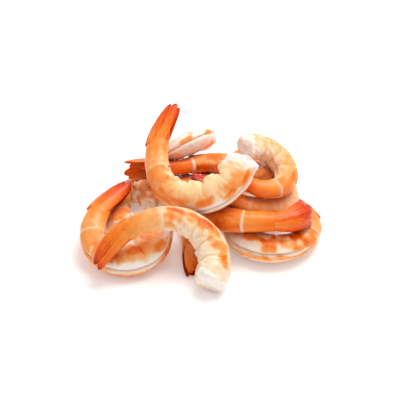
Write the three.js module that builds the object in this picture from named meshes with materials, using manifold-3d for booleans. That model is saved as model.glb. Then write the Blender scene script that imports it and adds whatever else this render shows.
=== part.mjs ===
// A heap of twelve cooked shrimp, peeled but with the tail shells left on, lying as they fell on a flat surface.
// Millimetres, +Z up. The heap's middle is over the origin, it lies on z = 0, and its front is at -Y.
import * as THREE from 'three';
import { ParametricGeometry } from 'three/addons/geometries/ParametricGeometry.js';
import { mergeVertices } from 'three/addons/utils/BufferGeometryUtils.js';
import Module from 'manifold-3d';

const wasm = await Module();
wasm.setup();

// Lengths of a full-size shrimp along its centreline: the peeled meat, the last segment in its shell, the tail fan.
const MEAT_LENGTH = 64;
const SIXTH_LENGTH = 19;
const FAN_LENGTH = 24;
const MEAT_SEGMENTS = 5;

// Steps in which a centreline is traced, and cross-sections by which neighbours are felt for.
const SPINE_STEPS = 480;
const BODY_SECTIONS = 96;

// Half sizes across the body, as [fraction of the length, size]: depth from back to belly, width between flanks.
const MEAT_DEPTH = [[0, 8.7], [0.12, 9.4], [0.35, 9.3], [0.6, 8.5], [0.8, 7.5], [1, 6.6]];
const MEAT_WIDTH = [[0, 7.2], [0.12, 7.5], [0.35, 7.4], [0.6, 6.8], [0.8, 6.0], [1, 5.4]];
const TAIL_DEPTH = [[0, 6.4], [0.35, 6.1], [0.44, 5.8], [0.6, 5.4], [0.8, 4.4], [1, 1.4]];
const TAIL_WIDTH = [[0, 5.2], [0.35, 4.8], [0.44, 4.4], [0.6, 4.2], [0.8, 3.2], [1, 0.8]];

// The meat bends most in its middle, by this share more than at its ends.
const BEND_SWELL = 0.22;
// A tail that leaves the plane of the curl does so along a curve of this length before it runs straight.
const LIFT_RUN = 8;

// Relief of the meat, as shares of the half size: seams between segments, groove of the belly, slit of the vein.
const SEAM = { back: 0.045, flank: 0.08, belly: 0.17, halfLength: 0.07 };
const BELLY_GROOVE = { depth: 0.15, halfAngle: 24 };
const VEIN_SLIT = { depth: 0.24, halfAngle: 6, from: 0.03, to: 0.86 };
// The cut head end bulges past the cut, and is this share of full size halfway up the bulge.
const CUT_BULGE = 2.6;
const CUT_SHOULDER = { up: 0.55, share: 0.74 };

// Degrees from the back at which the skin of the meat and of the shell have corners, and where along a segment of
// the meat its rings lie. The corners crowd at the slit of the vein.
const MEAT_ANGLES = [0, 11, 38, 68, 98, 128, 156, 180, 204, 232, 262, 292, 322, 349];
const SHELL_ANGLES = [0, 32, 66, 100, 140, 180, 220, 260, 294, 328];
const SEGMENT_RINGS = [0, 0.16, 0.5, 0.84];

// The tail's shell stands this clear of the meat, and each shrimp this clear of one that it presses on.
const SHELL_GAP = 0.32;
const PRESS_GAP = 0.22;
const PRESS_STEPS = 6;
// The layers of a tail are squeezed together as one, out to this many times the size of its cross-section.
const TAIL_REACH = 1.15;
// Meat this near to the surface that the heap lies on is pressed flat against it. A tail's layers are squeezed
// together over a height like this, and stay apart.
const REST_FLAT = 0.35;
const TAIL_REST = 0.8;

// The fan is five blades round a gutter, which is furled to a tall cone or opened out nearly flat. Furled, its radius
// shrinks by the early share all the way and by the late share mostly at the tip.
const GUTTER = { base: 4.6, early: 0.15, late: 0.35, high: 1.32, wide: 0.86, open: 14 };
const WIDEST_WRAP = 48;
const BLADE_ROOT = 3.5;
const BLADE_CORNERS = [0, 90, 180];
const BLADE_THICKNESS = 0.75;
const BLADE_OUTLINE = [[0, 0.5], [0.36, 0.9], [0.72, 0.95], [1, 0]];
const BLADES = [
  { length: 21, halfWidth: 2.7, furled: 0, openRoot: 0, openTip: 0, layer: 0.5 },
  { length: 26, halfWidth: 3.8, furled: 50, openRoot: 7, openTip: 30, layer: 0.15 },
  { length: 26, halfWidth: 3.8, furled: -50, openRoot: -7, openTip: -30, layer: 0.15 },
  { length: 27.8, halfWidth: 4.6, furled: 112, openRoot: 11, openTip: 56, layer: -0.2 },
  { length: 27.8, halfWidth: 4.6, furled: -112, openRoot: -11, openTip: -56, layer: -0.2 },
];

// Flesh at the roots of the blades: how far it reaches into a furled and into an open fan, and its outline.
const ROOT_FLESH = { furled: 20, open: 9, proud: 0.1, corners: [0, 72, 144, 216, 288] };
const ROOT_OUTLINE = [[0, 0], [0, 1], [0.55, 0.8], [1, 0]];
// The shell of the last segment narrows to this share at its end, and closes this far past it.
const SHELL_END = { share: 0.93, cap: 3 };

const MEAT_FINISH = { color: 0xf2b88e, roughness: 0.38, metalness: 0 };
const TAIL_FINISH = { color: 0xe0642c, roughness: 0.3, metalness: 0 };

// How each shrimp lies. Its curl is in its own XY plane, clockwise from the cut head end at +X by way of -Y to the
// tail at -X, back outwards, and over turns it onto its other side. at is the middle of the curl. curl is the turn
// over the meat, hook over the last segment and flick over the fan. lift is the slope at which the tail leaves the
// plane. size scales the shrimp, cut is the share of the meat left on it, girth its stoutness, fan how open its fan is.
const HEAP = [
  { name: 'left_ring', at: [-42.3, -29, 11.8], yaw: 15, tilt: 14, roll: -3, curl: 196, hook: 39, flick: 13,
    size: 0.97, girth: 1.1 },
  { name: 'right_ring', at: [39.7, -17, 7.2], yaw: -19, tilt: -2, roll: -1, over: true, curl: 172, hook: 44,
    flick: 18, size: 0.94, girth: 1.1 },
  { name: 'left_back', at: [-27.8, -1, 9.8], yaw: -115, tilt: 6, roll: 4, curl: 142, hook: -10, flick: -3,
    size: 0.87, girth: 1.18 },
  { name: 'right_back', at: [31.7, 39, 6.9], yaw: 118, tilt: -1, roll: 0, curl: 235, hook: 5, size: 0.94,
    girth: 1.02 },
  { name: 'left_middle', at: [-23, -16.3, 12.6], yaw: 157, tilt: 9, roll: -27, curl: 123, hook: 4, size: 0.85,
    cut: 0.8, girth: 1.12 },
  { name: 'right_middle', at: [24.5, -12.5, 15], yaw: -99, tilt: 4, roll: -18, over: true, curl: 175, hook: 16,
    flick: 77, size: 1.03, cut: 0.9, girth: 1.08, fan: 0.55 },
  { name: 'right_low', at: [26.2, 6.5, 20.5], yaw: 73, tilt: 18, roll: 2, curl: 147, hook: 30, flick: -6, size: 0.85,
    girth: 1.05 },
  { name: 'back_low', at: [4.2, 2.7, 24.6], yaw: 152.3, tilt: 12.5, roll: 4, over: true, curl: 101, hook: -19,
    flick: 24, size: 0.95, cut: 0.8, girth: 1.1, fan: 0.35 },
  { name: 'front_arch', at: [-16.9, -58.5, 17.8], yaw: 133, tilt: -5, roll: -31, over: true, curl: 127, hook: 22,
    flick: 40, lift: 28, size: 0.92, cut: 0.92, girth: 1.06 },
  { name: 'top_front', at: [-1.3, 1, 42.8], yaw: -4, tilt: 28, roll: -15, curl: 143, hook: 31, flick: 17,
    size: 1.01, girth: 1.06, fan: 0.05 },
  { name: 'top_right', at: [32.9, 2.5, 34], yaw: 132.8, tilt: 12.8, roll: -27.6, curl: 180, hook: 92, flick: -34,
    lift: -26, size: 0.84, cut: 0.92, girth: 1.03 },
  { name: 'back_top', at: [-13.1, 43.9, 17.2], yaw: -3.6, tilt: -38.4, roll: -31.1, curl: 161, hook: 43,
    flick: 8, size: 0.86, cut: 0.9, girth: 1.03 },
];

const radians = THREE.MathUtils.degToRad;
const mix = THREE.MathUtils.lerp;

/** Value of a profile of [fraction, value] pairs at a fraction, straight between its points. */
function along(profile, fraction) {
  const last = profile.length - 1;
  const next = profile.findIndex(([f]) => f > fraction);
  if (next === 0) return profile[0][1];
  if (next < 0) return profile[last][1];
  const [f0, v0] = profile[next - 1];
  const [f1, v1] = profile[next];
  return mix(v0, v1, (fraction - f0) / (f1 - f0));
}

/** A bump that is 1 at zero and dies away past its half length. */
const bump = (distance, half) => Math.exp(-((distance / half) ** 2));

/** The centreline of a shrimp in its own frame, with the directions and half sizes of its cross-sections. */
class Spine {
  constructor(shrimp) {
    this.scale = shrimp.size ?? 1;
    this.girth = this.scale * (shrimp.girth ?? 1);
    this.meat = MEAT_LENGTH * this.scale * (shrimp.cut ?? 1);
    this.sixth = SIXTH_LENGTH * this.scale;
    this.fan = FAN_LENGTH * this.scale;
    this.length = this.meat + this.sixth + this.fan;
    this.step = this.length / SPINE_STEPS;
    this.points = this.trace(shrimp);
  }

  /** Turn per millimetre at a distance from the cut end. */
  bend(shrimp, s) {
    if (s > this.meat + this.sixth) return radians(shrimp.flick ?? 0) / this.fan;
    if (s > this.meat) return radians(shrimp.hook) / this.sixth;
    const swell = 1 + BEND_SWELL * Math.cos(2 * Math.PI * (s / this.meat - 0.5));
    return (radians(shrimp.curl) / this.meat) * swell;
  }

  /** Points of the centreline, moved so that the middle of the meat is at -Y and the curl turns round the origin. */
  trace(shrimp) {
    const headings = [0];
    for (let i = 1; i <= SPINE_STEPS; i += 1) {
      headings.push(headings[i - 1] - this.bend(shrimp, (i - 0.5) * this.step) * this.step);
    }
    const middle = Math.round(this.meat / 2 / this.step);
    const start = Math.PI - headings[middle];
    const points = [new THREE.Vector3()];
    for (let i = 1; i <= SPINE_STEPS; i += 1) {
      const heading = start + (headings[i] + headings[i - 1]) / 2;
      const ahead = new THREE.Vector3(Math.cos(heading), Math.sin(heading), 0);
      points.push(points[i - 1].clone().addScaledVector(ahead, this.step));
    }
    const radius = this.meat / radians(shrimp.curl);
    const shift = new THREE.Vector3(0, -radius, 0).sub(points[middle]);
    const slope = Math.tan(radians(shrimp.lift ?? 0));
    points.forEach((point, i) => {
      const past = Math.max(0, i * this.step - this.meat);
      point.add(shift);
      point.z += (slope * past * past) / (past + LIFT_RUN);
    });
    return points;
  }

  /** Cross-section at a distance from the cut end: its middle, its directions and its half sizes. */
  section(s) {
    const place = THREE.MathUtils.clamp(s / this.step, 0, SPINE_STEPS - 1e-6);
    const i = Math.floor(place);
    const [from, to] = [this.points[i], this.points[i + 1]];
    const ahead = to.clone().sub(from).normalize();
    const middle = from.clone().lerp(to, place - i).addScaledVector(ahead, s - place * this.step);
    const back = new THREE.Vector3(0, 0, 1).cross(ahead).normalize();
    const side = ahead.clone().cross(back);
    const inMeat = s <= this.meat;
    const fraction = inMeat ? s / this.meat : (s - this.meat) / (this.sixth + this.fan);
    const depth = along(inMeat ? MEAT_DEPTH : TAIL_DEPTH, fraction) * this.girth;
    const width = along(inMeat ? MEAT_WIDTH : TAIL_WIDTH, fraction) * this.girth;
    return { middle, ahead, back, side, depth, width };
  }
}

/** Triangles of a geometry with shared vertices, no flat slivers, and its faces pointing out. */
function closed(geometry) {
  geometry.deleteAttribute('normal');
  geometry.deleteAttribute('uv');
  const merged = mergeVertices(geometry, 1e-4);
  const old = merged.index.array;
  const corner = (i) => new THREE.Vector3().fromBufferAttribute(merged.attributes.position, i);
  const faces = [];
  let volume = 0;
  for (let i = 0; i < old.length; i += 3) {
    const [a, b, c] = [old[i], old[i + 1], old[i + 2]];
    if (a !== b && b !== c && c !== a) {
      faces.push([a, b, c]);
      volume += corner(a).dot(corner(b).cross(corner(c)));
    }
  }
  const outward = faces.map(([a, b, c]) => (volume > 0 ? [a, b, c] : [a, c, b]));
  merged.setIndex(outward.flat());
  return merged;
}

/** A closed skin over stations: each has a ring at the same angles, and a ring of no size closes an end. */
function loft(stations, angles, pointAt) {
  const lastStation = stations.length - 1;
  const lastAngle = angles.length;
  const place = (u, v, target) => {
    const station = stations[Math.round(v * lastStation)];
    const angle = angles[Math.round(u * lastAngle) % lastAngle];
    target.copy(pointAt(station, radians(angle)));
  };
  return closed(new ParametricGeometry(place, lastAngle, lastStation));
}

/** Share by which the surface of the meat is drawn in at a fraction of its length and an angle from the back. */
function relief(fraction, angle) {
  const toBack = Math.abs(THREE.MathUtils.euclideanModulo(THREE.MathUtils.radToDeg(angle) + 180, 360) - 180);
  const segment = fraction * MEAT_SEGMENTS;
  const nearest = THREE.MathUtils.clamp(Math.round(segment), 1, MEAT_SEGMENTS - 1);
  const low = (1 - Math.cos(angle)) / 2;
  const seamDepth = mix(mix(SEAM.back, SEAM.flank, Math.min(1, low * 2)), SEAM.belly, Math.max(0, low * 2 - 1));
  const seam = seamDepth * bump(segment - nearest, SEAM.halfLength * 2);
  const groove = BELLY_GROOVE.depth * bump(180 - toBack, BELLY_GROOVE.halfAngle);
  const slitEnds = fraction > VEIN_SLIT.from && fraction < VEIN_SLIT.to ? 1 : 0;
  const slit = VEIN_SLIT.depth * slitEnds * bump(toBack, VEIN_SLIT.halfAngle);
  return seam + groove + slit;
}

/** The peeled meat: five segments with seams, a grooved belly and a slit back, from the cut to the tail's shell. */
function meatGeometry(spine) {
  const bulge = CUT_BULGE * spine.scale;
  const stations = [
    { s: -bulge, share: 0 },
    { s: -bulge * CUT_SHOULDER.up, share: CUT_SHOULDER.share },
  ];
  for (let segment = 0; segment < MEAT_SEGMENTS; segment += 1) {
    for (const part of SEGMENT_RINGS) {
      stations.push({ s: ((segment + part) / MEAT_SEGMENTS) * spine.meat, share: 1 });
    }
  }
  const end = spine.meat - SHELL_GAP;
  stations.push({ s: end, share: 0.97 }, { s: end, share: 0 });
  return loft(stations, MEAT_ANGLES, ({ s, share }, angle) => {
    const { middle, back, side, depth, width } = spine.section(s);
    const size = share * (1 - relief(s / spine.meat, angle));
    return middle
      .addScaledVector(back, depth * size * Math.cos(angle))
      .addScaledVector(side, width * size * Math.sin(angle));
  });
}

/** The last segment in its smooth shell, from the meat to the roots of the fan. */
function sixthGeometry(spine) {
  const end = spine.sixth;
  const stations = [
    { past: 0, share: 0 },
    { past: 0, share: 1 },
    { past: end * 0.5, share: 1 },
    { past: end, share: SHELL_END.share },
    { past: end + SHELL_END.cap * spine.scale, share: 0 },
  ];
  return loft(stations, SHELL_ANGLES, ({ past, share }, angle) => {
    const { middle, back, side, depth, width } = spine.section(spine.meat + past);
    return middle
      .addScaledVector(back, depth * share * Math.cos(angle))
      .addScaledVector(side, width * share * Math.sin(angle));
  });
}

/** Offset from the centreline to a place on a gutter: turn is the angle round it, sink how far its middle is off. */
function onGutter(radius, turn, sink) {
  return new THREE.Vector2(radius * Math.cos(turn) - sink, radius * Math.sin(turn));
}

/** Radius of the furled gutter at a share of the way to the blades' tips. */
function furledRadius(spine, part) {
  return GUTTER.base * spine.girth * (1 - GUTTER.early * part - GUTTER.late * part ** 3);
}

/** One blade of the fan: a thin leaf with a ridge down its middle, wrapped round the gutter. */
function bladeGeometry(spine, blade, open) {
  const root = spine.meat + spine.sixth - BLADE_ROOT * spine.scale;
  const wide = GUTTER.open * spine.scale;
  const reach = blade.length * spine.scale * (1 - open * (1 - Math.cos(radians(blade.openTip))));
  const stations = [{ part: 0, share: 0 }, ...BLADE_OUTLINE.map(([part, share]) => ({ part, share }))];
  return loft(stations, BLADE_CORNERS, ({ part, share }, angle) => {
    const { middle, back, side } = spine.section(root + part * reach);
    const narrow = furledRadius(spine, part);
    const halfWidth = blade.halfWidth * spine.scale * share;
    const thickness = BLADE_THICKNESS * Math.min(1, share * 1.5) * Math.sin(angle);
    const layer = (blade.layer + thickness) * spine.scale;
    const furledWrap = Math.min(halfWidth / narrow, radians(WIDEST_WRAP) * share);
    const furled = onGutter(narrow + layer, radians(blade.furled) + furledWrap * Math.cos(angle), 0);
    furled.multiply(new THREE.Vector2(GUTTER.high, GUTTER.wide));
    const spread = radians(mix(blade.openRoot, blade.openTip, part));
    const opened = onGutter(wide + layer, spread + (halfWidth / wide) * Math.cos(angle), wide - narrow);
    const offset = furled.lerp(opened, open);
    return middle.addScaledVector(back, offset.x).addScaledVector(side, offset.y);
  });
}

/** The flesh at the roots of the blades, which fills a furled fan and leaves an open one thin. */
function rootGeometry(spine, open) {
  const start = spine.meat + spine.sixth - BLADE_ROOT * spine.scale;
  const length = mix(ROOT_FLESH.furled, ROOT_FLESH.open, open) * spine.scale;
  return loft(ROOT_OUTLINE, ROOT_FLESH.corners, ([part, share], angle) => {
    const { middle, back, side } = spine.section(start + part * length);
    const radius = (furledRadius(spine, part) + ROOT_FLESH.proud) * share;
    return middle
      .addScaledVector(back, GUTTER.high * radius * Math.cos(angle))
      .addScaledVector(side, GUTTER.wide * radius * Math.sin(angle));
  });
}

/** Joins closed geometries into one. */
function union(geometries) {
  const solids = geometries.map((geometry) => new wasm.Manifold(new wasm.Mesh({
    numProp: 3,
    vertProperties: geometry.attributes.position.array,
    triVerts: new Uint32Array(geometry.index.array),
  })));
  const joined = solids.reduce((whole, solid) => whole.add(solid)).getMesh();
  const geometry = new THREE.BufferGeometry();
  geometry.setAttribute('position', new THREE.BufferAttribute(joined.vertProperties, 3));
  geometry.setIndex(new THREE.BufferAttribute(joined.triVerts, 1));
  return geometry;
}

/** The last segment and the fan, which keep their shell. */
function tailGeometry(spine, open) {
  const blades = BLADES.map((blade) => bladeGeometry(spine, blade, open));
  return union([sixthGeometry(spine), rootGeometry(spine, open), ...blades]);
}

/** A shrimp of the heap as cross-sections in the heap's frame, for finding what presses on what. */
class Body {
  constructor(spine, matrix) {
    const turn = new THREE.Matrix3().setFromMatrix4(matrix);
    this.sections = Array.from({ length: BODY_SECTIONS }, (_, i) => {
      const section = spine.section((i / (BODY_SECTIONS - 1)) * spine.length);
      section.middle.applyMatrix4(matrix);
      for (const direction of [section.ahead, section.back, section.side]) direction.applyMatrix3(turn);
      return section;
    });
  }

  /** The cross-section nearest to a point. */
  nearest(point) {
    let best = this.sections[0];
    let least = Infinity;
    for (const section of this.sections) {
      const distance = section.middle.distanceToSquared(point);
      if (distance < least) [best, least] = [section, distance];
    }
    return best;
  }

  /** Distance from a point to the skin, negative inside. */
  clearance(point) {
    const section = this.nearest(point);
    const offset = point.clone().sub(section.middle);
    const [up, across, ahead] = [section.back, section.side, section.ahead].map((way) => offset.dot(way));
    const radial = Math.hypot(up, across);
    const share = Math.hypot(up / section.depth, across / section.width) + 1e-9;
    const outside = radial * (1 - 1 / share);
    const atEnd = section === this.sections[0] || section === this.sections.at(-1);
    if (!atEnd) return outside;
    return outside > 0 ? Math.hypot(outside, ahead) : Math.max(outside, Math.abs(ahead) - CUT_BULGE);
  }
}

/** How many times further out than a point the skin lies that is pressed on with it, reach sections from the middle. */
function skinAbove(section, offset, reach) {
  const share = Math.hypot(offset.dot(section.back) / section.depth, offset.dot(section.side) / section.width);
  return share > 0.1 ? Math.max(1, reach / share) : 1;
}

/** Height of a point once the heap rests on its surface: meat is pressed flat, a tail's layers are squeezed. */
function rested(height, layered) {
  if (layered) return TAIL_REST * Math.log1p(Math.exp(height / TAIL_REST));
  return height < REST_FLAT ? 0 : height;
}

/** Presses a geometry in where it would run into its neighbours or through the surface that the heap lies on. */
function press(geometry, matrix, own, neighbours, reach) {
  const inverse = matrix.clone().invert();
  const position = geometry.attributes.position;
  for (let i = 0; i < position.count; i += 1) {
    const point = new THREE.Vector3().fromBufferAttribute(position, i).applyMatrix4(matrix);
    const section = own.nearest(point);
    const offset = point.clone().sub(section.middle);
    const skin = offset.clone().multiplyScalar(skinAbove(section, offset, reach));
    const inward = skin.clone().normalize().negate();
    let pressed = 0;
    for (let step = 0; step < PRESS_STEPS; step += 1) {
      const at = section.middle.clone().add(skin).addScaledVector(inward, pressed);
      const least = Math.min(...neighbours.map((body) => body.clearance(at)));
      if (least >= PRESS_GAP) break;
      pressed += PRESS_GAP - least;
    }
    point.addScaledVector(offset, -pressed / skin.length());
    point.z = rested(point.z, reach > 0);
    point.applyMatrix4(inverse);
    position.setXYZ(i, point.x, point.y, point.z);
  }
  geometry.computeVertexNormals();
  return geometry;
}

const shrimps = HEAP.map((shrimp) => {
  const group = new THREE.Group();
  group.position.fromArray(shrimp.at);
  group.rotation.set(radians(shrimp.tilt), radians(shrimp.roll + (shrimp.over ? 180 : 0)), radians(shrimp.yaw), 'ZXY');
  group.updateMatrix();
  const spine = new Spine(shrimp);
  return { shrimp, group, spine, body: new Body(spine, group.matrix) };
});

const heap = new THREE.Group();
for (const { shrimp, group, spine, body } of shrimps) {
  const neighbours = shrimps.map((other) => other.body).filter((other) => other !== body);
  const meat = press(meatGeometry(spine), group.matrix, body, neighbours, 0);
  const tail = press(tailGeometry(spine, shrimp.fan ?? 0), group.matrix, body, neighbours, TAIL_REACH);
  const parts = [
    ['meat', meat, MEAT_FINISH],
    ['tail', tail, TAIL_FINISH],
  ];
  for (const [part, geometry, finish] of parts) {
    const mesh = new THREE.Mesh(geometry, new THREE.MeshStandardMaterial(finish));
    mesh.name = `shrimp_${shrimp.name}_${part}`;
    group.add(mesh);
  }
  heap.add(group);
}

export default heap;
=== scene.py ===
"""A heap of cooked, peeled shrimp with their tail shells on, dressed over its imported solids."""

import logging
import math
from dataclasses import dataclass, field
from enum import Enum

import bpy
import numpy as np
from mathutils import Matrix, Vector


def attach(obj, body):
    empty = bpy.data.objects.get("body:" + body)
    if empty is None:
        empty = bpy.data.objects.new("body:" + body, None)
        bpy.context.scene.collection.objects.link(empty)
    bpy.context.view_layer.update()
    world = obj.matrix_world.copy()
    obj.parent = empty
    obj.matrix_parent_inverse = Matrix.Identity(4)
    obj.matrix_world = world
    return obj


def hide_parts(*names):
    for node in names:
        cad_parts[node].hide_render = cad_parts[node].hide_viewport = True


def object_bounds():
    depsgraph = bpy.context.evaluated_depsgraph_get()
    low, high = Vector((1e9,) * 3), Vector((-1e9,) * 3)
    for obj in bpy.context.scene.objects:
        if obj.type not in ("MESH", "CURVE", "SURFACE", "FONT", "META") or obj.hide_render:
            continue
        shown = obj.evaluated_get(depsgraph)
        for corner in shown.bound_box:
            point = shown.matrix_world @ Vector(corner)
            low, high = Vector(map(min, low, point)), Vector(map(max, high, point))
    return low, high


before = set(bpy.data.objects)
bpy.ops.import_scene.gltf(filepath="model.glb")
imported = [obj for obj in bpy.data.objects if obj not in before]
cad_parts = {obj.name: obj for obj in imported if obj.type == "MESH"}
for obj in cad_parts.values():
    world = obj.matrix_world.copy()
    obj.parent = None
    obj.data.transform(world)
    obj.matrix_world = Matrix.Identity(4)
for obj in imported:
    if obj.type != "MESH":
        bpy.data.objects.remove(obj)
CAD_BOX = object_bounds()

log = logging.getLogger("shrimp_heap")

MM = 0.001
BODY = "root"
# Keeps a division clear of zero.
TINY = 1e-9

# Lengths of a full-size shrimp along its centreline, in millimetres: peeled meat, last segment in its shell, tail fan.
MEAT_LENGTH = 64.0
SIXTH_LENGTH = 19.0
FAN_LENGTH = 24.0
SEGMENTS = 5

# Half sizes across the body in millimetres, as (fraction of the length, size): depth back to belly, width.
MEAT_DEPTH = ((0, 8.7), (0.12, 9.4), (0.35, 9.3), (0.6, 8.5), (0.8, 7.5), (1, 6.6))
MEAT_WIDTH = ((0, 7.2), (0.12, 7.5), (0.35, 7.4), (0.6, 6.8), (0.8, 6.0), (1, 5.4))
TAIL_DEPTH = ((0, 6.4), (0.35, 6.1), (0.44, 5.8), (0.6, 5.4), (0.8, 4.4), (1, 1.4))
TAIL_WIDTH = ((0, 5.2), (0.35, 4.8), (0.44, 4.4), (0.6, 4.2), (0.8, 3.2), (1, 0.8))

# The meat bends most in its middle, and a tail that leaves the plane of the curl does so over this length.
BEND_SWELL = 0.22
LIFT_RUN = 8.0
SPINE_STEPS = 480
FELT_SECTIONS = 96
# How far the ends of a shrimp stand out, and the room round its box, as its neighbours feel them, in millimetres.
END_DEPTH = 2.6
BOX_ROOM = 1.0

# Clearance in millimetres that pressed skin keeps from a neighbour and from the floor, and the steps in which it
# gives way. Points nearer to the centreline than this share of the cross-section aren't moved with the skin over them.
PRESS_GAP = 0.1
FLOOR_GAP = 0.02
PRESS_STEPS = 6
CORE_SHARE = 0.1
# The rims of dents are rounded in this many steps, by this share of the dent's depth.
RIM_STEPS = 6
RIM_SHARE = 0.9
# The layers of a tail are squeezed as one, out to this many times the size of its cross-section, and against the
# floor over a height like this.
TAIL_REACH = 1.15
TAIL_REST = 0.8
# Painted shade darkens skin within this many millimetres of a neighbour. Near the floor the painted shade reaches
# farther, so a height over it counts as this share.
TOUCH_REACH = 5.0
FLOOR_SHARE = 0.7

# How far shrimp lie apart where their patterns are laid out, in millimetres, so that no two have the same skin.
PATTERN_STRIDE = 37.0

# Sockets of a mix node that blends colours, which have no names of their own: inputs, and the output.
MIX_SHARE, MIX_UNDER, MIX_OVER = 0, 6, 7
MIX_RESULT = 2


class Slot(Enum):
    """The material slots of the part."""

    MEAT = "meat"
    SHELL = "tail_shell"


def linear(code: str) -> tuple[float, float, float, float]:
    """Turns an sRGB hex colour into linear light.

    Args:
        code: The colour as "#RRGGBB".

    Returns:
        Linear red, green, blue and an alpha of 1.
    """
    parts = [int(code[i:i + 2], 16) / 255 for i in (1, 3, 5)]
    light = [c / 12.92 if c <= 0.04045 else ((c + 0.055) / 1.055) ** 2.4 for c in parts]
    return (*light, 1.0)


def add(tree: bpy.types.NodeTree, kind: str, settings: dict | None = None, links: dict | None = None) -> bpy.types.Node:
    """Adds a node to a material.

    Args:
        tree: The material's node tree.
        kind: The node's type.
        settings: Properties by name, or values of sockets by name or number.
        links: Output sockets of other nodes, by the name or number of the socket that they feed.

    Returns:
        The node.
    """
    made = tree.nodes.new(kind)
    for name, value in (settings or {}).items():
        if isinstance(name, int) or name in made.inputs:
            made.inputs[name].default_value = value
        else:
            setattr(made, name, value)
    for name, source in (links or {}).items():
        tree.links.new(source, made.inputs[name])
    return made


def fill(ramp: bpy.types.ColorRamp, colours: tuple[tuple[float, str], ...]) -> None:
    """Gives a new colour ramp its colours.

    Args:
        ramp: The ramp, with the two stops that a new one has.
        colours: Places from 0 to 1 in rising order, each with an sRGB hex colour.
    """
    first, *between, last = colours
    for stop, (place, code) in zip(ramp.elements, (first, last)):
        stop.position, stop.color = place, linear(code)
    for place, code in between:
        ramp.elements.new(place).color = linear(code)


def blank(name: str) -> bpy.types.Material:
    """Makes a material that has no nodes yet.

    Args:
        name: Its name.

    Returns:
        The material.
    """
    made = bpy.data.materials.new(name)
    made.use_nodes = True
    made.node_tree.nodes.clear()
    return made


def smooth(low: float, high: float, values: np.ndarray) -> np.ndarray:
    """Rises smoothly from 0 at low to 1 at high."""
    t = np.clip((values - low) / (high - low), 0, 1)
    return t * t * (3 - 2 * t)


def bump(values: np.ndarray, half: float) -> np.ndarray:
    """A bump that is 1 at zero and dies away past its half width."""
    return np.exp(-((values / half) ** 2))


def profile(pairs: tuple, fraction: np.ndarray) -> np.ndarray:
    """Values of a profile of (fraction, value) pairs, straight between them."""
    return np.interp(fraction, [p[0] for p in pairs], [p[1] for p in pairs])


def laid_out(along: np.ndarray, radius: np.ndarray | float, turn: np.ndarray, seed: int = 0) -> np.ndarray:
    """Lays rings of a shrimp out straight, as its patterns run on them.

    Args:
        along: Distances along the shrimp in millimetres, one for each ring.
        radius: Radius that the rings are given, in millimetres.
        turn: Angles of the corners from the back in radians, as rings by corners.
        seed: The shrimp's seed, which takes it away from the others.

    Returns:
        Places in millimetres, as rings by corners by three coordinates.
    """
    straight = np.stack([along[:, None] + 0 * turn, radius * np.cos(turn), radius * np.sin(turn)], -1)
    return straight + seed * PATTERN_STRIDE


@dataclass(frozen=True)
class Edge:
    """A soft edge: where it sets in, where it is full, and how far it wanders to either side."""

    start: float
    full: float
    stray: float = 0.0

    def over(self, values: np.ndarray, wander: np.ndarray | float = 0.0) -> np.ndarray:
        """Rises from 0 before the edge to 1 past it."""
        return smooth(self.start, self.full, values + self.stray * wander)


class Lumps:
    """Smooth, repeatable unevenness: a few sine waves that run in drawn directions."""

    # How many waves there are, their lengths as shares of a typical one, and how much of their sum is kept.
    COUNT = 14
    LENGTHS = (0.7, 1.6)
    HEIGHT = 0.7

    def __init__(self, seed: int, size: float) -> None:
        """Draws the waves.

        Args:
            seed: What the draw starts from.
            size: Length of a typical wave, in millimetres.
        """
        draw = np.random.default_rng(seed)
        way = draw.normal(size=(self.COUNT, 3))
        way /= np.linalg.norm(way, axis=1, keepdims=True)
        self.wave = way * (2 * math.pi / (size * draw.uniform(*self.LENGTHS, (self.COUNT, 1))))
        self.phase = draw.uniform(0, 2 * math.pi, self.COUNT)
        self.share = math.sqrt(2 / self.COUNT)

    def at(self, points: np.ndarray) -> np.ndarray:
        """Unevenness at points in millimetres, mostly between -1 and 1."""
        return np.sin(points @ self.wave.T + self.phase).sum(-1) * self.share * self.HEIGHT


@dataclass(frozen=True)
class Waves:
    """One layer of unevenness: what it adds to a shrimp's seed, its wave length in millimetres, and its height."""

    draw: int
    size: float
    height: float

    def at(self, seed: int, points: np.ndarray) -> np.ndarray:
        """Unevenness of the shrimp with a seed, at points in millimetres."""
        return Lumps(seed + self.draw, self.size).at(points) * self.height


@dataclass(frozen=True)
class Spot:
    """A patch of pigment on the meat, which some shrimp use for painted shade, or with a negative amount a place
    without any.

    Along counts segments from the cut end, and turn is in degrees from the back, towards the side if positive. Reach
    is how far the patch goes in segments, and spread how far it goes in degrees.
    """

    along: float
    turn: float
    reach: float
    spread: float
    amount: float


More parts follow.
